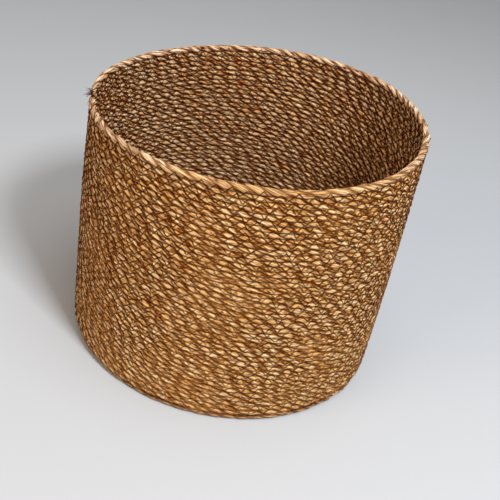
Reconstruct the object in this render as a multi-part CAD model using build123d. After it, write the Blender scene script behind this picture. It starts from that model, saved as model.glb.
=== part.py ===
"""Seagrass storage basket: a twisted cord wound flat into a base, then up into a wall, and machine sewn.

Frame: +Z up, the origin on the floor under the middle of the base. Millimetres.
The cord starts at the middle of the base and winds outward as a flat spiral. At the -X side it turns up
and climbs as a helix, the wall, which is spliced from three lengths of cord. A thicker, paler cord
makes one last round, the rim, and its thinned end is sewn down at the -X side.
Each round is sewn to the one before it with a zigzag lockstitch: a needle thread on the outside and a
bobbin thread on the inside. Each thread is made here as the narrow band that its stitches follow, in
the groove between two rounds.
"""

import os

from build123d import *

# Driving dimensions
BASKET_DIAMETER = 300.0   # over the wall's cord
CORD_DIAMETER = 5.1       # the twisted cord of the base and the wall
RIM_CORD_DIAMETER = 6.4   # the thicker cord of the last round
ROUND_GAP = 0.12          # clearance from one round to the next
BASE_HALF_TURNS = 55      # of the base's spiral: an odd number, so that it ends at the -X side
WALL_CORD_ROUNDS = {      # rounds wound from each length of cord, from the bottom up
    "wall_cord_lower": 15,
    "wall_cord_middle": 15,
    "wall_cord_upper": 14,
}
WALL_STEP_OUT = 2.2       # from the base's last round out to the wall's first, centre to centre
SEAM_TURN = 0.5005        # the wall and the rim start here, just past the base's end at half a turn
BAND_WIDTH = 1.5          # of a sewn groove's thread, from round to round
BAND_DEPTH = 0.45
BAND_SINK = 0.055         # the band lies this far below the cords' outer face
BAND_END_GAP = 0.02       # of a turn, from each end of the wall's sewing to the seam
CORNER_THREAD_DIAMETER = 1.1
CORNER_INSET = 3.35       # from the wall cord's middle in to the corner thread
CORNER_LIFT = (2.15, 3.75)    # from the base cord's middle up to the corner thread's start and end
CORNER_GAP = 0.015        # of a turn, from each end of the corner's sewing to the seam
TAIL_TURN = 9 / 360       # how far round the rim its thinned end runs
TAIL_TIP_DIAMETER = 2.2

# Worked out from them
CORD_RADIUS = CORD_DIAMETER / 2
RIM_CORD_RADIUS = RIM_CORD_DIAMETER / 2
PITCH = CORD_DIAMETER + ROUND_GAP
WALL_RADIUS = BASKET_DIAMETER / 2 - CORD_RADIUS       # to the middle of the wall's cord
BASE_RADIUS = WALL_RADIUS - WALL_STEP_OUT             # to the middle of the base's last round
SPIRAL_START = BASE_RADIUS - BASE_HALF_TURNS * PITCH / 2
WALL_ROUNDS = sum(WALL_CORD_ROUNDS.values())
BAND_OFFSET = CORD_RADIUS - BAND_SINK - BAND_DEPTH / 2    # from a cord's middle to the band's
LAST_ROUND_HEIGHT = CORD_RADIUS + (WALL_ROUNDS - 1) * PITCH
RIM_HEIGHT = LAST_ROUND_HEIGHT + CORD_RADIUS + ROUND_GAP + RIM_CORD_RADIUS


def flat_spiral(start, half_turns, height):
    """Half circles about two centres in turn, which grow by one pitch in each full turn."""
    arcs = []
    for k in range(half_turns):
        centre = PITCH / 4 if k % 2 else -PITCH / 4
        arcs.append(CenterArc((centre, 0, height), start + (2 * k + 1) * PITCH / 4, 180 * (k % 2), 180))
    return Wire(arcs)


def climbing_line(radius, height, turns, first_turn=0.0, lift=PITCH):
    """A helix that rises by lift in each turn. It would pass the seam at height, first_turn earlier."""
    path = Helix(pitch=lift, height=lift * turns, radius=radius)
    return path.rotate(Axis.Z, 360 * (SEAM_TURN + first_turn)).translate((0, 0, height + lift * first_turn))


def round_cord(path, radius):
    """A round cord along a path."""
    return sweep(Plane(origin=path @ 0, z_dir=path % 0) * Circle(radius), path=path, is_frenet=True)


def thread_band(path, upright):
    """A band of thread along a path: it stands up in the wall's grooves and lies flat in the base's."""
    start = path @ 0
    outward = Vector(start.X, start.Y, 0).normalized()
    sides = (BAND_DEPTH, BAND_WIDTH) if upright else (BAND_WIDTH, BAND_DEPTH)
    section = Plane(origin=start, x_dir=outward, z_dir=path % 0) * Rectangle(*sides)
    return sweep(section, path=path, is_frenet=upright)


def base_cord():
    """The base's cord, from its tucked start in the middle to its last round."""
    return round_cord(flat_spiral(SPIRAL_START, BASE_HALF_TURNS, CORD_RADIUS), CORD_RADIUS)


def base_thread(side):
    """The base's sewing on one face: side is -1 underneath and 1 inside the basket."""
    path = flat_spiral(SPIRAL_START + PITCH / 2, BASE_HALF_TURNS - 2, CORD_RADIUS + side * BAND_OFFSET)
    return thread_band(path, upright=False)


def wall_cord(rounds_below, rounds):
    """One length of the wall's cord."""
    return round_cord(climbing_line(WALL_RADIUS, CORD_RADIUS, rounds, rounds_below), CORD_RADIUS)


def wall_thread(side):
    """The wall's sewing on one face, from its first round to the rim: side is -1 inside and 1 outside."""
    radius = WALL_RADIUS + side * BAND_OFFSET
    turns = WALL_ROUNDS - 2 * BAND_END_GAP
    path = climbing_line(radius, CORD_RADIUS + PITCH / 2, turns, BAND_END_GAP)
    return thread_band(path, upright=True)


def corner_thread():
    """The sewing in the inside corner, which joins the wall's first round to the base's last."""
    start, end = CORNER_LIFT
    turns = 1 - 2 * CORNER_GAP
    path = climbing_line(WALL_RADIUS - CORNER_INSET, CORD_RADIUS + start, turns, CORNER_GAP, end - start)
    section = Plane(origin=path @ 0, z_dir=path % 0) * RegularPolygon(CORNER_THREAD_DIAMETER / 2, 8)
    return sweep(section, path=path, is_frenet=True)


def rim_cord():
    """The thicker last round, up to where its end is thinned."""
    return round_cord(climbing_line(WALL_RADIUS, RIM_HEIGHT, 1 - TAIL_TURN), RIM_CORD_RADIUS)


def rim_tail():
    """The rim cord's end, thinned to a tip over the rim's start."""
    path = climbing_line(WALL_RADIUS, RIM_HEIGHT, TAIL_TURN, 1 - TAIL_TURN)
    sections = [
        Plane(origin=path @ place, z_dir=path % place) * Circle(radius)
        for place, radius in ((0, RIM_CORD_RADIUS), (1, TAIL_TIP_DIAMETER / 2))
    ]
    return sweep(sections, path=path, multisection=True)


def main():
    nodes = {
        "base_cord": base_cord(),
        "base_needle_thread": base_thread(-1),
        "base_bobbin_thread": base_thread(1),
        "corner_thread": corner_thread(),
        "wall_needle_thread": wall_thread(1),
        "wall_bobbin_thread": wall_thread(-1),
        "rim_cord": rim_cord(),
        "rim_tail": rim_tail(),
    }
    rounds_below = 0
    for name, rounds in WALL_CORD_ROUNDS.items():
        nodes[name] = wall_cord(rounds_below, rounds)
        rounds_below += rounds
    os.makedirs("parts", exist_ok=True)
    for name, shape in nodes.items():
        export_step(shape, f"parts/{name}.step")


main()
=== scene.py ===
import math

import bpy
import numpy as np
from mathutils import Matrix, Vector


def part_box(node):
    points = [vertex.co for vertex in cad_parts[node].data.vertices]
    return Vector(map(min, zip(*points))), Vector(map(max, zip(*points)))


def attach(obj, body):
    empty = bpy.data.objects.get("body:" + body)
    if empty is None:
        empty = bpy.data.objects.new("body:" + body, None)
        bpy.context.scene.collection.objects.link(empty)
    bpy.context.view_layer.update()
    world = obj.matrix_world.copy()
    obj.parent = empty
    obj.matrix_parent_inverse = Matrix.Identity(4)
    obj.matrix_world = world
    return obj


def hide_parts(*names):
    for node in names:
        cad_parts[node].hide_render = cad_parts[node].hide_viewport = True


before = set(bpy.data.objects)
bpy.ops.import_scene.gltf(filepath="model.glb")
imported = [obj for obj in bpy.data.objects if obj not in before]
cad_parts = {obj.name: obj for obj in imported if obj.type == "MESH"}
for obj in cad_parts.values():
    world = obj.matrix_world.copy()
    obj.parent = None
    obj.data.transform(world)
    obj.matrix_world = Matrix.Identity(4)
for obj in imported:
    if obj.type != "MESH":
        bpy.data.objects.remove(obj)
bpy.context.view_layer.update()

# Sizes in metres. The cord is counted in turns from the middle of the base, where turn 0 points to +X.
MM = 0.001
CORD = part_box("base_cord")[1].z             # the cord's thickness
RIM_CORD = 6.4 * MM
ROUND_GAP = 0.12 * MM
PITCH = CORD + ROUND_GAP                    # from one round to the next
WALL_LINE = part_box("wall_cord_lower")[1].x - CORD / 2    # from the axis to the wall cord's middle
STEP_OUT = 2.2 * MM                         # from the base's last round out to the wall's first
STEP_OUT_TURNS = 0.35
RIM_STEP_TURNS = 0.12                       # in which the wall's last round makes room for the rim's
THICKER_TURNS = 0.02                        # in which the wall's cord gives way to the rim's
BASE_START = -0.2                           # the cord's end, curled into the middle of the base
BASE_END = 27.5
WALL_ROUNDS = {"wall_cord_lower": 15, "wall_cord_middle": 15, "wall_cord_upper": 14}
RIM_START = BASE_END + sum(WALL_ROUNDS.values())
RIM_END = RIM_START + 1
TAIL_START = RIM_END - 9 / 360
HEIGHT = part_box("rim_cord")[1].z
LAY = 27 * MM                               # the length in which two plies go once round each other
RIM_LAY = 31 * MM
STITCH = 6.2 * MM                           # from one needle hole to the next
THREAD = 0.65 * MM

# How far the basket is from a true one: its rim is tilted and its wall is a little out of round.
RIM_TILT = ((1, 8.5 * MM, 2.4 * MM), (2, -0.3 * MM, 1.1 * MM))    # waves in a turn, cosine and sine
WALL_SWELL = 1.4 * MM                       # at half the wall's height
WALL_LOBES = -1.2 * MM                      # of three lobes, at the rim
CORD_DRIFT = 0.25 * MM                      # of the cord's middle, in and out
CORD_SAG = 0.2 * MM                         # of the cord's middle, up and down
CORD_SWELL = 1.02                           # a little thicker, so that the rounds touch
CORD_WAVER = 0.045                          # share by which the thickness varies
TAIL_THINNING = 0.62
VIEW_TURN = math.radians(11)                # the camera stands this far round from -Y, towards -X


# ---------------------------------------------------------------------------------------------------
# The line that the cord follows
# ---------------------------------------------------------------------------------------------------

def smooth(x):
    """0 below 0, 1 above 1 and an even ease between."""
    x = np.clip(x, 0, 1)
    return x * x * (3 - 2 * x)


def wander(turns, seed, slow, fast, waves=9):
    """A wavering value of about -1 to 1, with slow to fast waves in each turn (or each stitch)."""
    draw = np.random.default_rng(seed)
    total = np.zeros_like(turns)
    for rate, shift in zip(draw.uniform(slow, fast, waves), draw.uniform(0, 2 * math.pi, waves)):
        total += np.sin(2 * math.pi * rate * turns + shift)
    return total / math.sqrt(waves)


def cord_middle(turns):
    """Points along the middle of the cord: a flat spiral, then the wall's helix, then the rim."""
    angle = 2 * math.pi * turns
    climb = np.maximum(turns - BASE_END, 0)
    spiral = WALL_LINE - STEP_OUT - (BASE_END - np.minimum(turns, BASE_END)) * PITCH
    radius = spiral + STEP_OUT * smooth(climb / STEP_OUT_TURNS)
    height = CORD / 2 + PITCH * climb
    height += (RIM_CORD - CORD) / 2 * smooth((turns - RIM_START) / RIM_STEP_TURNS + 0.5)
    share = height / HEIGHT
    on_wall = smooth(climb / 3)
    seen = angle + VIEW_TURN
    radius += on_wall * (WALL_SWELL * np.sin(math.pi * share) + WALL_LOBES * share * np.cos(3 * seen))
    radius += CORD_DRIFT * wander(turns, 11, 6, 34) * smooth(turns / 3)
    lean = sum(c * np.cos(k * seen) + s * np.sin(k * seen) for k, c, s in RIM_TILT)
    height += share * lean * smooth(climb / 2) + CORD_SAG * on_wall * wander(turns, 12, 5, 30)
    return np.stack([radius * np.cos(angle), radius * np.sin(angle), height], axis=1)


def cord_radius(turns):
    """Half the cord's thickness: the rim's round is thicker, and its end is thinned."""
    thin_end = 1 - TAIL_THINNING * smooth((turns - TAIL_START) / (RIM_END - TAIL_START))
    on_rim = smooth((turns - RIM_START) / THICKER_TURNS + 0.5)
    thickness = RIM_CORD * thin_end * on_rim + CORD * CORD_SWELL * (1 - on_rim)
    return thickness / 2 * (1 + CORD_WAVER * wander(turns, 13, 14, 75))


def unit(vectors):
    return vectors / np.linalg.norm(vectors, axis=1, keepdims=True)


def cord_frame(turns):
    """The cord's middle, its way along, the way across to the next round, and the way in."""
    step = 1e-4
    middle = cord_middle(turns)
    along = unit(cord_middle(turns + step) - cord_middle(turns - step))
    reach = cord_middle(turns + 1) - cord_middle(turns - 1)
    across = unit(reach - np.sum(reach * along, axis=1, keepdims=True) * along)
    return middle, along, across, np.cross(across, along)


# The same places along the cord, counted in turns, in metres and in stitches
TURN_MARKS = np.linspace(-0.5, RIM_END + 0.1, 30000)
LENGTH_MARKS = np.concatenate(
    [[0], np.cumsum(np.linalg.norm(np.diff(cord_middle(TURN_MARKS), axis=0), axis=1))]
)
STITCH_MARKS = LENGTH_MARKS / STITCH
STITCH_MARKS = (
    STITCH_MARKS
    + 0.22 * wander(STITCH_MARKS, 31, 0.11, 0.24)
    + 1.6 * wander(STITCH_MARKS, 35, 0.004, 0.022)
)
SWING_WIDTH = 1.18                          # of the zigzag, in rounds
SWING_WAVER = 0.26                          # share by which that width varies


def length_at(turns):
    return np.interp(turns, TURN_MARKS, LENGTH_MARKS)


def turn_at(lengths):
    return np.interp(lengths, LENGTH_MARKS, TURN_MARKS)


def needle_swing(turns):
    """The needle holes passed, by turn, and the width of the zigzag in rounds."""
    passed = np.interp(turns, TURN_MARKS, STITCH_MARKS)
    return passed, SWING_WIDTH * (1 + SWING_WAVER * wander(passed, 33, 0.13, 0.29))


def needle_place(turns):
    """Where the zigzag is, from 0 at the middle of its own round to 1 at the middle of the next."""
    passed, width = needle_swing(turns)
    return 0.5 + (np.abs((passed + 1) % 2 - 1) - 0.5) * width


# ---------------------------------------------------------------------------------------------------
# Cords, threads and loose blades
# ---------------------------------------------------------------------------------------------------

def tubes_piece(name, rings, lengths, material, replaced=(), marks=None):
    """Closed tubes in one piece, from points by tube, ring and side. Their map runs along each tube
    in metres and once round it, and marks are three values at each point, under a name."""
    tubes, count, sides = rings.shape[:3]
    place = np.arange(tubes * count * sides).reshape(tubes, count, sides)
    beside = np.roll(place, -1, axis=2)
    quads = np.stack([place[:, :-1], beside[:, :-1], beside[:, 1:], place[:, 1:]], axis=-1).reshape(-1)
    u = np.broadcast_to(lengths[:, :, None], place.shape)
    v = np.broadcast_to(np.arange(sides) / sides, place.shape)
    u_quads = np.stack([u[:, :-1], u[:, :-1], u[:, 1:], u[:, 1:]], axis=-1).reshape(-1)
    next_v = v + 1 / sides
    v_quads = np.stack([v[:, :-1], next_v[:, :-1], next_v[:, 1:], v[:, 1:]], axis=-1).reshape(-1)
    ends = np.concatenate([place[:, 0, ::-1], place[:, -1]]).reshape(-1)
    u_ends, v_ends = u.reshape(-1)[ends], v.reshape(-1)[ends]
    mesh = bpy.data.meshes.new(name)
    mesh.vertices.add(place.size)
    mesh.vertices.foreach_set("co", rings.astype(np.float32).ravel())
    mesh.loops.add(len(quads) + len(ends))
    mesh.loops.foreach_set("vertex_index", np.concatenate([quads, ends]).astype(np.int32))
    end_starts = len(quads) + np.arange(0, len(ends), sides)
    starts = np.concatenate([np.arange(0, len(quads), 4), end_starts])
    mesh.polygons.add(len(starts))
    mesh.polygons.foreach_set("loop_start", starts.astype(np.int32))
    mesh.update(calc_edges=True)
    corners = np.stack([np.concatenate([u_quads, u_ends]), np.concatenate([v_quads, v_ends])], axis=1)
    layer = mesh.uv_layers.new(name="cord_map")
    layer.data.foreach_set("uv", corners.astype(np.float32).ravel())
    for label, values in (marks or {}).items():
        layer = mesh.attributes.new(label, "FLOAT_VECTOR", "POINT")
        layer.data.foreach_set("vector", np.stack(values, axis=-1).astype(np.float32).ravel())
    mesh.validate()
    mesh.shade_smooth()
    mesh.materials.append(material)
    piece = bpy.data.objects.new(name, mesh)
    bpy.context.scene.collection.objects.link(piece)
    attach(piece, "root")
    if replaced:
        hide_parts(*replaced)
    return piece


# The cord's section: one ply, then the other, with a groove at each end of both
PLY_ANGLES = np.radians([-90, -64, -32, 0, 32, 64, 90, 116, 148, 180, 212, 244])
PLY_RADII = np.array([0.70, 0.90, 0.99, 1.0, 0.99, 0.90] * 2)
SQUARENESS = 0.09                           # share by which the sewn cord fills its corners
DENT = 0.2 * MM                             # where the thread pulls the cord in
DENT_WIDTH = 0.2                            # in rounds
RING_STEP = 1.75 * MM                       # from one ring of points to the next
RIM_STEP = 1.2 * MM
TAIL_STEP = 0.8 * MM
OUT_OF_REACH = 9                            # in rounds: no thread comes near
NOOK_START = 0.64                           # how far up the cord's side the shade between rounds starts
PRESSED_WIDER = 1.03                        # neighbours are pressed into each other by this much


def cord_piece(name, start, end, material, step=RING_STEP, has_next=True, lay=LAY):
    """A length of two-ply cord. Its plies turn as they go, and its neighbours press it flat."""
    first, last = length_at(start), length_at(end)
    lengths = np.linspace(first, last, round((last - first) / step))
    turns = turn_at(lengths)
    middle, along, across, inward = cord_frame(turns)
    twist = 2 * math.pi * lengths / lay + 0.9 * wander(turns, 14, 1, 12)
    angle = PLY_ANGLES[None, :] - twist[:, None]
    radius = cord_radius(turns)[:, None] * PLY_RADII[None, :]
    for side in range(len(PLY_ANGLES)):
        radius[:, side] *= 1 + CORD_WAVER * wander(turns, 20 + side, 10, 110)
    sine, cosine = np.sin(angle), np.cos(angle)
    radius *= 1 + SQUARENESS * np.sin(2 * angle) ** 2 * ((sine < 0) | has_next)
    nook = np.zeros_like(radius)
    # The thread on this round and the thread on the round before both pull the cord in.
    high = radius * sine / PITCH
    marks = {}
    for label, back in (("stitch_on", 0), ("stitch_back", 1)):
        if back or has_next:
            off = high - needle_place(turns - back)[:, None] + back
            radius -= DENT * np.exp(-(off / DENT_WIDTH) ** 2) * np.abs(cosine)
        passed, width = needle_swing(turns - back)
        away = back if back or has_next else OUT_OF_REACH
        marks[label] = np.broadcast_arrays(passed[:, None], width[:, None], high + away)
    # The rounds on either side press the cord flat, and shade it where they meet.
    for toward, is_there in ((1, has_next), (-1, True)):
        if is_there:
            nook = np.maximum(nook, smooth((sine * toward - NOOK_START) / (1 - NOOK_START)))
            gap = np.linalg.norm(cord_middle(turns + toward) - middle, axis=1)[:, None]
            own = cord_radius(turns)[:, None]
            half = PRESSED_WIDER * gap * own / (own + cord_radius(turns + toward)[:, None])
            pressed = np.maximum(sine * toward, 0) ** 7
            radius = radius * (1 - pressed) + half * pressed
    points = (
        middle[:, None, :]
        - (radius * cosine)[:, :, None] * inward[:, None, :]
        + (radius * sine)[:, :, None] * across[:, None, :]
    )
    # The inner face is marked; the materials paint it with its own light and deeper shade.
    inner_face = smooth(-cosine)
    marks["nook"] = (nook, inner_face, np.zeros_like(nook))
    return tubes_piece(name, points[None], lengths[None], material, (name,), marks)


LEG_PLACES = (0.0, 0.13, 0.5, 0.87)         # along a leg of the zigzag, from one hole to the next
LEG_LIFTS = (-1.0 * MM, 0.16 * MM, -0.42 * MM, 0.16 * MM)    # out of the cord's face at each place


def stitch_piece(name, start, end, inside, sides, material, replaced=()):
    """A zigzag thread from each round to the next, which dips into a hole at each end of a leg."""
    first, last = (needle_swing(turn)[0] for turn in (start, end))
    holes = np.arange(math.ceil(first), math.floor(last))
    step = np.concatenate([holes + place for place in LEG_PLACES])
    order = np.argsort(step)
    lift = np.repeat(LEG_LIFTS, len(holes))[order]
    turns = np.interp(step[order], STITCH_MARKS, TURN_MARKS)
    lengths = length_at(turns)
    crossed = needle_place(turns)
    here, _, _, inward = cord_frame(turns)
    there, _, _, inward_there = cord_frame(turns + 1)
    share = crossed[:, None]
    face = unit(inward * (1 - share) + inward_there * share) * (1 if inside else -1)
    reach = cord_radius(turns) * (1 - crossed) + cord_radius(turns + 1) * crossed + lift
    middle = here * (1 - share) + there * share + face * reach[:, None]
    path = unit(np.gradient(middle, axis=0))
    beside = unit(np.cross(path, face))
    up = np.cross(beside, path)
    angle = (2 * math.pi * np.arange(sides) / sides)[None, :, None]
    ring = np.cos(angle) * up[:, None, :] + np.sin(angle) * beside[:, None, :]
    points = middle[:, None, :] + THREAD / 2 * ring
    return tubes_piece(name, points[None], lengths[None], material, replaced)


LOOSE_RINGS = 6
LOOSE_SIDES = 3
SIDE_NUDGE = (0.01, 0.02, 0.03)             # gives a fibre that hardly bends a side to turn to


def loose_piece(name, roots, ways, bends, lengths, thickness, material):
    """Loose fibres that start at their roots and taper to a point. Each bends as it goes."""
    rings = np.linspace(0, 1, LOOSE_RINGS)
    along = rings[None, :, None] * lengths[:, None, None]
    bent = ways[:, None, :] + rings[None, :, None] * bends[:, None, :]
    middle = roots[:, None, :] + along * bent
    path = np.gradient(middle, axis=1)
    path /= np.linalg.norm(path, axis=2, keepdims=True)
    beside = np.cross(path, bends[:, None, :] + SIDE_NUDGE)
    beside /= np.linalg.norm(beside, axis=2, keepdims=True)
    above = np.cross(beside, path)
    angle = (2 * math.pi * np.arange(LOOSE_SIDES) / LOOSE_SIDES)[None, None, :, None]
    width = thickness[:, None] * (1 - 0.85 * rings[None, :] ** 2) / 2
    ring = np.cos(angle) * above[:, :, None, :] + np.sin(angle) * beside[:, :, None, :]
    points = middle[:, :, None, :] + width[:, :, None, None] * ring
    return tubes_piece(name, points, along[:, :, 0], material)


def loose_blades(material):
    """Ends of blades that stand a little off the wall and the rim, inside and out."""
    draw = np.random.default_rng(61)
    count = 520
    turns = np.sort(draw.uniform(BASE_END + 0.5, RIM_END - 0.05, count))
    middle, along, across, inward = cord_frame(turns)
    face = inward * draw.choice([-1, 1], count)[:, None]
    high = draw.uniform(-0.7, 0.7, count)[:, None]
    sunk = 0.86 * face * np.sqrt(1 - high ** 2) + 0.9 * high * across
    roots = middle + cord_radius(turns)[:, None] * sunk
    ways = unit(
        along * draw.choice([-1, 1], count)[:, None]
        + draw.normal(0, 0.35, (count, 1)) * across
        + draw.uniform(0.12, 0.5, (count, 1)) * face
    )
    bends = draw.normal(0, 0.3, (count, 1)) * across - draw.uniform(0, 0.3, (count, 1)) * face
    lengths = draw.uniform(2.5, 8.5, count) * MM
    thickness = draw.uniform(0.25, 0.55, count) * MM
    return loose_piece("loose_blades", roots, ways, bends, lengths, thickness, material)


def tail_fibres(material):
    """Loose ends of thread and grass at the end of the rim's cord, which stick out to the -X side."""
    draw = np.random.default_rng(62)
    count = 40
    turns = RIM_END + draw.uniform(-0.012, 0.004, count)
    middle, along, across, inward = cord_frame(turns)
    roots = middle - 0.5 * cord_radius(turns)[:, None] * inward + draw.normal(0, 0.8 * MM, (count, 3))
    ways = unit(
        draw.normal(0.1, 0.5, (count, 1)) * along
        + draw.normal(-0.1, 0.5, (count, 1)) * across
        - draw.uniform(0.5, 1.1, (count, 1)) * inward
    )
    bends = draw.normal(0, 0.5, (count, 3))
    lengths = draw.uniform(2.5, 6.5, count) * MM
    thickness = draw.uniform(0.4, 0.8, count) * MM
    return loose_piece(
        "rim_tail_fibres", roots, ways, bends, lengths, thickness, material
    )


# ---------------------------------------------------------------------------------------------------
# Materials
# ---------------------------------------------------------------------------------------------------

def add_node(tree, kind, inputs=(), **settings):
    """A node with its settings, and with each input set to a value or linked to an output."""
    node = tree.nodes.new(kind)
    for name, value in settings.items():
        setattr(node, name, value)
    for name, value in dict(inputs).items():
        if isinstance(value, bpy.types.NodeSocket):
            tree.links.new(value, node.inputs[name])
        else:
            node.inputs[name].default_value = value
    return node


def maths(tree, operation, first, second=0.0, third=0.0, clamp=False):
    inputs = {0: first, 1: second, 2: third}
    return add_node(tree, "ShaderNodeMath", inputs, operation=operation, use_clamp=clamp).outputs[0]


def about_half(tree, value, weight, total):
    """A total, plus how far a value is over a half times its weight."""
    return maths(tree, "MULTIPLY_ADD", maths(tree, "SUBTRACT", value, 0.5), weight, total)


def joined(tree, x, y):
    return add_node(tree, "ShaderNodeCombineXYZ", {0: x, 1: y}).outputs[0]


def mixed(tree, share, first, second, blend_type="MIX"):
    """The first colour, and the second one where the share is 1."""
    inputs = {0: share, 6: first, 7: second}
    return add_node(tree, "ShaderNodeMix", inputs, data_type="RGBA", blend_type=blend_type).outputs[2]


def cord_map(tree):
    """Metres along the cord or the thread, and the share of the way round it."""
    where = add_node(tree, "ShaderNodeUVMap", uv_map="cord_map").outputs["UV"]
    split = add_node(tree, "ShaderNodeSeparateXYZ", {0: where})
    return split.outputs["X"], split.outputs["Y"]


def place_on_basket(tree):
    """The place on the basket, then its X, Y and Z, in metres."""
    spot = add_node(tree, "ShaderNodeTexCoord").outputs["Object"]
    return spot, *add_node(tree, "ShaderNodeSeparateXYZ", {0: spot}).outputs


def point_marks(tree, label):
    """The three values that tubes_piece put at each point under a name."""
    mark = add_node(tree, "ShaderNodeAttribute", attribute_name=label).outputs["Vector"]
    return add_node(tree, "ShaderNodeSeparateXYZ", {0: mark}).outputs


def flat_noise(tree, x, y, detail, roughness=0.5):
    where = {"Vector": joined(tree, x, y), "Scale": 1.0, "Detail": detail, "Roughness": roughness}
    return add_node(tree, "ShaderNodeTexNoise", where, noise_dimensions="2D").outputs["Fac"]


def ramp(tree, value, stops):
    """A colour ramp, from (place, colour) stops."""
    node = add_node(tree, "ShaderNodeValToRGB", {"Fac": value})
    while len(node.color_ramp.elements) < len(stops):
        node.color_ramp.elements.new(0.5)
    for element, (place, colour) in zip(node.color_ramp.elements, stops):
        element.position = place
        element.color = (*colour, 1)
    return node.outputs["Color"]


def new_group(name, inputs, outputs):
    """An empty node group of numbers, with its group input's sockets and its group output."""
    tree = bpy.data.node_groups.new(name, "ShaderNodeTree")
    for label, value in inputs.items():
        socket = tree.interface.new_socket(label, in_out="INPUT", socket_type="NodeSocketFloat")
        socket.default_value = value
    for label in outputs:
        tree.interface.new_socket(label, in_out="OUTPUT", socket_type="NodeSocketFloat")
    return tree, tree.nodes.new("NodeGroupInput").outputs, tree.nodes.new("NodeGroupOutput")


BLADE_LAY = -17.0                           # turns that a blade goes round its ply in each metre
EDGE_SHARPNESS = 6.0
FIBRES_ALONG = 170.0                        # in a metre
FIBRES_ROUND = 30.0
STRETCHES = 30.0                            # of lighter and darker cord in a metre
GROOVE_POWER = 2.4                          # a higher one gives a narrower painted shade in the groove between the plies
BLADE_TONE, FIBRE_TONE, STRETCH_TONE, PATCH_TONE = 0.5, 1.3, 0.35, 0.3    # share of each in the tone
INNER_CONTRAST = 1.0                        # added to the tone's spread inside the basket: painted light, for how the inside is lit
INNER_LIFT = 0.4                            # added to the tone there: painted light too


def blade_group():
    """Dry blades laid along each ply. It gives their tone from dark to light, their edges and their
    height, the painted shade in the grooves between plies and rounds, how hard the thread pulls
    (for its dent and for the painted shade beside it), and the inner face, which gets painted light."""
    tree, given, result = new_group(
        "dry_blades",
        {"Blades Per Metre": 85.0, "Blades Round": 12.0, "Patch Size": 16.0},
        ("Tone", "Groove", "Edge", "Height", "Pull And Shade", "Inner"),
    )
    along, around = cord_map(tree)
    spot, _, _, high = place_on_basket(tree)
    laid = maths(tree, "MULTIPLY_ADD", along, BLADE_LAY, around)
    cells = joined(
        tree,
        maths(tree, "MULTIPLY", along, given["Blades Per Metre"]),
        maths(tree, "MULTIPLY", laid, given["Blades Round"]),
    )
    cells = {"Vector": cells, "Scale": 1.0, "Randomness": 1.0}
    blades = add_node(tree, "ShaderNodeTexVoronoi", cells, voronoi_dimensions="2D")
    blade_tone = add_node(tree, "ShaderNodeSeparateColor", {0: blades.outputs["Color"]}).outputs["Red"]
    edges = add_node(
        tree, "ShaderNodeTexVoronoi", cells, voronoi_dimensions="2D", feature="DISTANCE_TO_EDGE"
    ).outputs["Distance"]
    edge = maths(tree, "SUBTRACT", 1.0, maths(tree, "MULTIPLY", edges, EDGE_SHARPNESS), clamp=True)
    fibres = flat_noise(
        tree,
        maths(tree, "MULTIPLY", along, FIBRES_ALONG),
        maths(tree, "MULTIPLY", laid, FIBRES_ROUND),
        detail=3.0,
        roughness=0.65,
    )
    stretch = flat_noise(tree, maths(tree, "MULTIPLY", along, STRETCHES), around, detail=2.0)
    patch = add_node(
        tree, "ShaderNodeTexNoise",
        {"Vector": spot, "Scale": given["Patch Size"], "Detail": 3.0, "Roughness": 0.6},
    ).outputs["Fac"]
    # The painted shade in the nook between rounds shows in some stretches only.
    nook, inner, _ = point_marks(tree, "nook")
    nook = maths(tree, "MULTIPLY", nook, maths(tree, "MULTIPLY_ADD", stretch, 2.6, -0.5, clamp=True))
    # Painted shade in the groove between the plies, and in the nook between rounds.
    across_ply = maths(tree, "FRACT", maths(tree, "MULTIPLY", around, 2.0))
    from_ply = maths(tree, "ABSOLUTE", maths(tree, "MULTIPLY_ADD", across_ply, 2.0, -1.0))
    groove = maths(tree, "MAXIMUM", maths(tree, "POWER", from_ply, GROOVE_POWER), nook)
    # The thread pulls harder in patches, towards the rim and inside, and the painted shade beside it is
    # darker there.
    pull_and_shade = maths(tree, "MULTIPLY_ADD", patch, 3.0, maths(tree, "MULTIPLY_ADD", high, 4.0, -1.15))
    pull_and_shade = maths(tree, "MULTIPLY_ADD", inner, 0.9, pull_and_shade, clamp=True)
    tone = about_half(tree, blade_tone, BLADE_TONE, 0.5)
    tone = about_half(tree, fibres, FIBRE_TONE, tone)
    tone = about_half(tree, stretch, STRETCH_TONE, tone)
    tone = about_half(tree, patch, PATCH_TONE, tone)
    # Painted light: the inner face gets more contrast and a lighter tone.
    spread = maths(tree, "MULTIPLY_ADD", inner, INNER_CONTRAST, 1.0)
    tone = about_half(tree, tone, spread, maths(tree, "MULTIPLY_ADD", inner, INNER_LIFT, 0.5))
    height = maths(tree, "MULTIPLY_ADD", edge, -0.5, maths(tree, "MULTIPLY", fibres, 0.6))
    for place, value in enumerate((tone, groove, edge, height, pull_and_shade, inner)):
        tree.links.new(value, result.inputs[place])
    return tree


PULL_REACH = 4.2                            # a higher one gives a narrower dent and painted shade line by the thread


def pulled_and_shaded_group():
    """How near the sewing thread is, 1 under the thread: it gives the dent where the thread pulls the
    cord in, and the painted shade beside the thread.
    """
    tree, _, result = new_group("pulled_in_and_shaded", {}, ["Near"])
    nears = []
    for label in ("stitch_on", "stitch_back"):
        passed, width, high = point_marks(tree, label)
        line = about_half(tree, maths(tree, "PINGPONG", passed, 1.0), width, 0.5)
        off = maths(tree, "ABSOLUTE", maths(tree, "SUBTRACT", high, line))
        off = maths(tree, "MULTIPLY", off, PULL_REACH)
        nears.append(maths(tree, "SUBTRACT", 1.0, off, clamp=True))
    tree.links.new(maths(tree, "MAXIMUM", *nears), result.inputs["Near"])
    return tree


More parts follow.
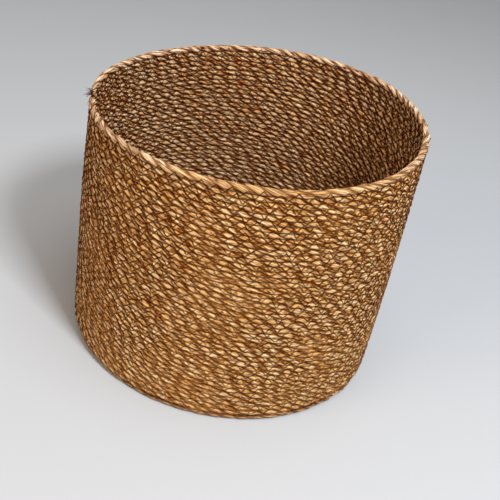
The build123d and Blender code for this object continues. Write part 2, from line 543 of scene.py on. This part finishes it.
PAINTED_SHADE_BROWN = (0.055, 0.006, 0.0005, 1)      # painted shade in grooves, on blade edges and on the cord by the thread
# Painted light: a warmer tint on the inner face, for the light inside the basket.
INNER_TINT = (1.0, 0.88, 0.78, 1)
# Painted light: a pale grey on the cord that touches the floor, for light bounced up from the floor.
FLOOR_BOUNCE_LIGHT = (0.50, 0.40, 0.28, 1)
SHEEN_TINT = (1, 0.5, 0.2, 1)
EDGE_SHADE = 0.75
INNER_SHADE = 0.6                           # share by which the painted shade in grooves and edges is darker inside
SHADE_DEPTH = 0.6                           # how far the shade moves the tone towards dark
OPEN_LIFT = 0.1                             # added to the tone of all the grass
FLOOR_BOUNCE_SHARE = 0.5                            # share of the painted floor-bounce light, on the cord that touches the floor


def new_material(name):
    """A material, its node tree and its shader."""
    material = bpy.data.materials.new(name)
    material.use_nodes = True
    return material, material.node_tree, material.node_tree.nodes["Principled BSDF"]


def grass_material(name, blades, pulled_and_shaded, stops, groove_shade, roughness, values, front_stops=None):
    """Dry seagrass, its colour from the blades' tone, with painted shade in the grooves and by the
    thread.
    Where front_stops are given, they are the colours towards the basket's front."""
    material, tree, shader = new_material(name)
    _, _, forward, high = place_on_basket(tree)
    look = add_node(tree, "ShaderNodeGroup", values, node_tree=blades)
    tone, inner = look.outputs["Tone"], look.outputs["Inner"]
    near = add_node(tree, "ShaderNodeGroup", node_tree=pulled_and_shaded).outputs["Near"]
    near = maths(tree, "MULTIPLY", near, look.outputs["Pull And Shade"])
    # Paler blades show less of the painted shade line by the thread.
    uneven = maths(tree, "MULTIPLY_ADD", tone, -1.0, 1.5, clamp=True)
    by_thread = maths(tree, "MULTIPLY", maths(tree, "POWER", near, 1.2), uneven)
    # Painted shade: in the grooves, on the blades' edges and beside the thread.
    groove = maths(tree, "MULTIPLY", look.outputs["Groove"], groove_shade)
    shade = maths(tree, "MAXIMUM", groove, maths(tree, "MULTIPLY", look.outputs["Edge"], EDGE_SHADE))
    # The painted shade is deeper on the inner face.
    deeper = maths(tree, "MULTIPLY_ADD", inner, INNER_SHADE, 1.0)
    shade = maths(tree, "MAXIMUM", maths(tree, "MULTIPLY", shade, deeper, clamp=True), by_thread)
    shaded_tone = maths(tree, "ADD", maths(tree, "MULTIPLY_ADD", shade, -SHADE_DEPTH, OPEN_LIFT), tone)
    colour = ramp(tree, shaded_tone, stops)
    if front_stops:
        front = maths(tree, "MULTIPLY_ADD", forward, -30.0, -3.0, clamp=True)
        colour = mixed(tree, front, colour, ramp(tree, shaded_tone, front_stops))
    # Painted light: the inner face is tinted warmer, for the light inside the basket.
    colour = mixed(tree, inner, colour, INNER_TINT, "MULTIPLY")
    # Painted light: the lowest cord is paled towards grey, for the light that the floor bounces onto
    # it.
    floor_bounce = maths(tree, "MULTIPLY_ADD", high, -150.0, 1.1, clamp=True)
    colour = mixed(tree, maths(tree, "MULTIPLY", floor_bounce, FLOOR_BOUNCE_SHARE), colour, FLOOR_BOUNCE_LIGHT)
    # Where the painted shade is, the colour goes towards a deep brown.
    tree.links.new(mixed(tree, shade, colour, PAINTED_SHADE_BROWN), shader.inputs["Base Color"])
    rough = maths(tree, "MULTIPLY_ADD", tone, -0.25, roughness + 0.12)
    tree.links.new(rough, shader.inputs["Roughness"])
    height = maths(tree, "MULTIPLY_ADD", near, -0.8, look.outputs["Height"])
    bump = add_node(tree, "ShaderNodeBump", {"Strength": 0.7, "Distance": 0.5 * MM, "Height": height})
    tree.links.new(bump.outputs["Normal"], shader.inputs["Normal"])
    shader.inputs["Specular IOR Level"].default_value = 0.1
    shader.inputs["Specular Tint"].default_value = SHEEN_TINT
    return material


THREAD_TWISTS = 2200.0                      # of the thread's own plies in a metre


def thread_material(name, stops):
    """Sewing thread with the fine slant of its own twist. It fades to a golden brown lower down and
    in patches."""
    material, tree, shader = new_material(name)
    along, around = cord_map(tree)
    spot, _, _, high = place_on_basket(tree)
    slant = maths(tree, "MULTIPLY_ADD", along, THREAD_TWISTS, maths(tree, "MULTIPLY", around, 3.0))
    ply = maths(tree, "PINGPONG", slant, 0.5)
    patch = {"Vector": spot, "Scale": 16.0, "Detail": 3.0}
    patch = add_node(tree, "ShaderNodeTexNoise", patch).outputs["Fac"]
    low = maths(tree, "MULTIPLY_ADD", high, -2.5, 1.75)
    fade = maths(tree, "MULTIPLY_ADD", patch, -2.4, low, clamp=True)
    tone = maths(tree, "MULTIPLY_ADD", ply, 0.4, maths(tree, "MULTIPLY", fade, 0.8))
    tree.links.new(ramp(tree, tone, stops), shader.inputs["Base Color"])
    bump = add_node(tree, "ShaderNodeBump", {"Strength": 0.5, "Distance": 0.1 * MM, "Height": ply})
    tree.links.new(bump.outputs["Normal"], shader.inputs["Normal"])
    shader.inputs["Roughness"].default_value = 0.8
    shader.inputs["Specular IOR Level"].default_value = 0.05
    return material


def floor_material():
    material, _, shader = new_material("pale_floor")
    shader.inputs["Base Color"].default_value = (0.46, 0.49, 0.53, 1)
    shader.inputs["Roughness"].default_value = 0.85
    return material


# ---------------------------------------------------------------------------------------------------
# Stage: camera, floor and light
# ---------------------------------------------------------------------------------------------------

CAMERA_AIM = Vector((0.01448, 0, 0.08751))
CAMERA_DISTANCE = 0.8363
CAMERA_DOWN = math.radians(32.07)
CAMERA_ROLL = math.radians(11.61)
LENS = 61.2


def stage_camera():
    look = Vector((0, math.cos(CAMERA_DOWN), -math.sin(CAMERA_DOWN)))
    level_up = Vector((0, math.sin(CAMERA_DOWN), math.cos(CAMERA_DOWN)))
    level_right = Vector((1, 0, 0))
    right = math.cos(CAMERA_ROLL) * level_right + math.sin(CAMERA_ROLL) * level_up
    up = math.cos(CAMERA_ROLL) * level_up - math.sin(CAMERA_ROLL) * level_right
    turn = Matrix((right, up, -look)).transposed()
    data = bpy.data.cameras.new("camera")
    data.lens = LENS
    camera = bpy.data.objects.new("camera", data)
    placed = Matrix.Translation(CAMERA_AIM - look * CAMERA_DISTANCE) @ turn.to_4x4()
    camera.matrix_world = Matrix.Rotation(-VIEW_TURN, 4, "Z") @ placed
    bpy.context.scene.collection.objects.link(camera)
    bpy.context.scene.camera = camera


def stage_floor():
    bpy.ops.mesh.primitive_plane_add(size=12, location=(0, 0, 0))
    floor = bpy.context.object
    floor.name = "floor"
    floor.data.materials.append(floor_material())


def stage_light(name, place, size, power, colour):
    """A soft square light that points at the basket."""
    data = bpy.data.lights.new(name, "AREA")
    data.size = size
    data.energy = power
    data.color = colour
    light = bpy.data.objects.new(name, data)
    light.location = place
    light.rotation_euler = (Vector((0, 0, 0.12)) - Vector(place)).to_track_quat("-Z", "Y").to_euler()
    bpy.context.scene.collection.objects.link(light)


def stage_room():
    stage_light("key", (0.55, -1.2, 1.7), 0.4, 44, (1, 0.985, 0.97))
    stage_light("ceiling", (0.2, -0.3, 2.0), 1.0, 12, (1, 0.99, 0.98))
    stage_light("fill", (-1.4, -0.9, 0.9), 1.0, 14, (1, 0.72, 0.48))
    world = bpy.data.worlds.new("room")
    world.use_nodes = True
    world.node_tree.nodes["Background"].inputs["Color"].default_value = (1, 0.97, 0.92, 1)
    world.node_tree.nodes["Background"].inputs["Strength"].default_value = 0.34
    bpy.context.scene.world = world
    bpy.context.scene.view_settings.view_transform = "Standard"


# ---------------------------------------------------------------------------------------------------
# The basket
# ---------------------------------------------------------------------------------------------------

TAN = (
    (0.05, (0.20, 0.048, 0.003)),
    (0.28, (0.54, 0.245, 0.058)),
    (0.50, (0.74, 0.440, 0.170)),
    (0.70, (0.79, 0.545, 0.285)),
    (0.95, (0.84, 0.650, 0.420)),
)
RIM_FRONT = (
    (0.10, (0.22, 0.080, 0.015)),
    (0.50, (0.58, 0.345, 0.145)),
    (0.90, (0.78, 0.540, 0.300)),
)
PALE = (
    (0.10, (0.26, 0.120, 0.040)),
    (0.50, (0.63, 0.425, 0.245)),
    (0.90, (0.90, 0.710, 0.510)),
)
THREAD_BROWN = (
    (0.00, (0.045, 0.009, 0.001)),
    (0.30, (0.110, 0.033, 0.004)),
    (1.00, (0.360, 0.180, 0.060)),
)
# Painted shade: a darker copy of the sewing thread's colours, for the thread inside the basket.
INNER_SHADED_BROWN = (
    (0.00, (0.026, 0.003, 0.001)),
    (0.30, (0.055, 0.009, 0.001)),
    (1.00, (0.200, 0.070, 0.015)),
)


def main():
    bpy.ops.object.select_all(action="DESELECT")
    stage_camera()
    stage_floor()
    stage_room()
    blades = blade_group()
    pulled_and_shaded = pulled_and_shaded_group()
    tan = grass_material("seagrass", blades, pulled_and_shaded, TAN, 0.95, 0.5, {})
    longer_blades = {"Blades Per Metre": 40.0}
    pale = grass_material("pale_seagrass", blades, pulled_and_shaded, PALE, 0.7, 0.48, longer_blades, RIM_FRONT)
    thread = thread_material("sewing_thread", THREAD_BROWN)
    # Painted shade: the thread inside the basket is a darker copy of the sewing thread.
    shaded_inner_thread = thread_material("inner_sewing_thread_shaded", INNER_SHADED_BROWN)
    cord_piece("base_cord", BASE_START, BASE_END, tan)
    start = BASE_END
    for name, rounds in WALL_ROUNDS.items():
        cord_piece(name, start, start + rounds, tan)
        start += rounds
    cord_piece("rim_cord", RIM_START, TAIL_START, pale, RIM_STEP, False, RIM_LAY)
    cord_piece("rim_tail", TAIL_START, RIM_END, pale, TAIL_STEP, False, RIM_LAY)
    base, corner = (1, BASE_END - 1), (BASE_END - 1, BASE_END)
    stitch_piece("base_needle_thread", *base, False, 4, thread, ["base_needle_thread"])
    stitch_piece("base_bobbin_thread", *base, True, 4, shaded_inner_thread, ["base_bobbin_thread"])
    stitch_piece("corner_needle_thread", *corner, False, 5, thread)
    stitch_piece("corner_thread", *corner, True, 5, shaded_inner_thread, ["corner_thread"])
    sewing = ((False, "wall_needle_thread", thread), (True, "wall_bobbin_thread", shaded_inner_thread))
    for inside, name, material in sewing:
        for part, (low, high) in enumerate(((0, 15), (15, 30), (30, 44))):
            piece = name if part == 0 else f"{name}_{part}"
            replaced = [name] if part == 0 else []
            stitch_piece(piece, BASE_END + low, BASE_END + high, inside, 5, material, replaced)
    loose_blades(tan)
    tail_fibres(thread)


main()
